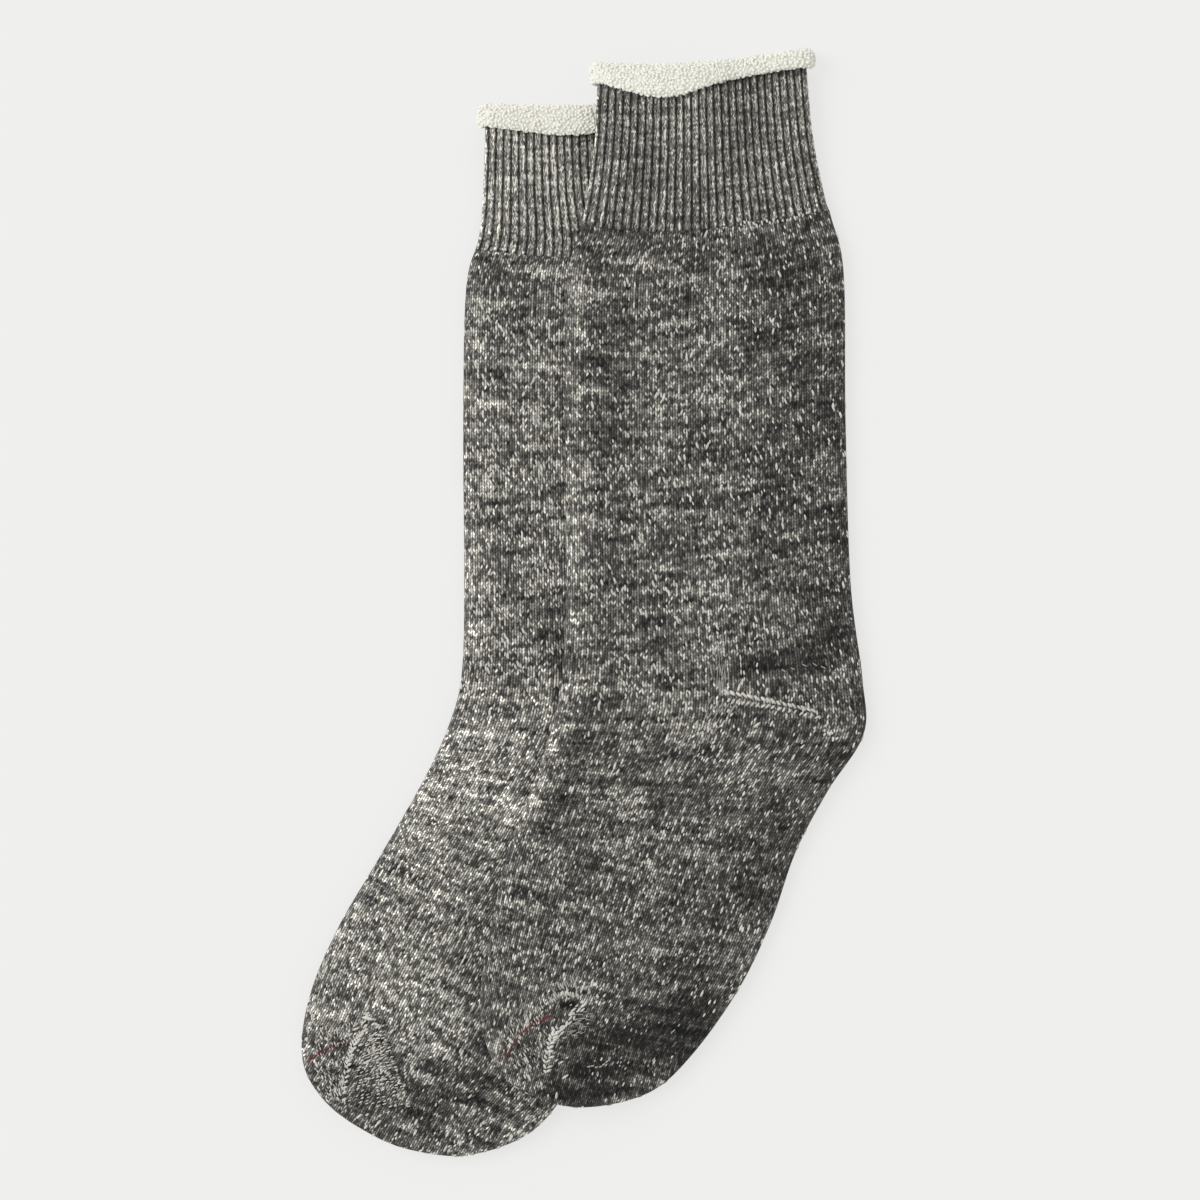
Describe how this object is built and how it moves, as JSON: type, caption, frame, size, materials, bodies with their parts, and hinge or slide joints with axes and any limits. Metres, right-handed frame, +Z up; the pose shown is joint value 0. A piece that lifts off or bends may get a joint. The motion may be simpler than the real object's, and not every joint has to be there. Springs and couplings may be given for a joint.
{
  "type": "pair of thermal crew socks",
  "caption": "A pair of thick marled crew socks laid flat, one partly over the other, with ribbed cuffs and rolled pale pile edges.",
  "frame": {"origin": "on the surface that the pair lies on, under the middle of the pair", "axes": "+Z up from the surface, +Y towards the cuffs, +X towards the heels"},
  "size_m": [0.2259, 0.4431, 0.0254],
  "materials": {
    "marl_knit": "charcoal and cream marled plain knit, soft and matt",
    "marl_rib": "the same marl in a one by one rib, matt",
    "cream_pile": "cream looped pile, soft and matt"
  },
  "bodies": {
    "root": {"lower_sock_leg_foot": "marl_knit", "lower_sock_rib_cuff": "marl_rib", "lower_sock_rolled_edge": "cream_pile", "upper_sock_leg_foot": "marl_knit", "upper_sock_rib_cuff": "marl_rib", "upper_sock_rolled_edge": "cream_pile"}
  },
  "joints": []
}
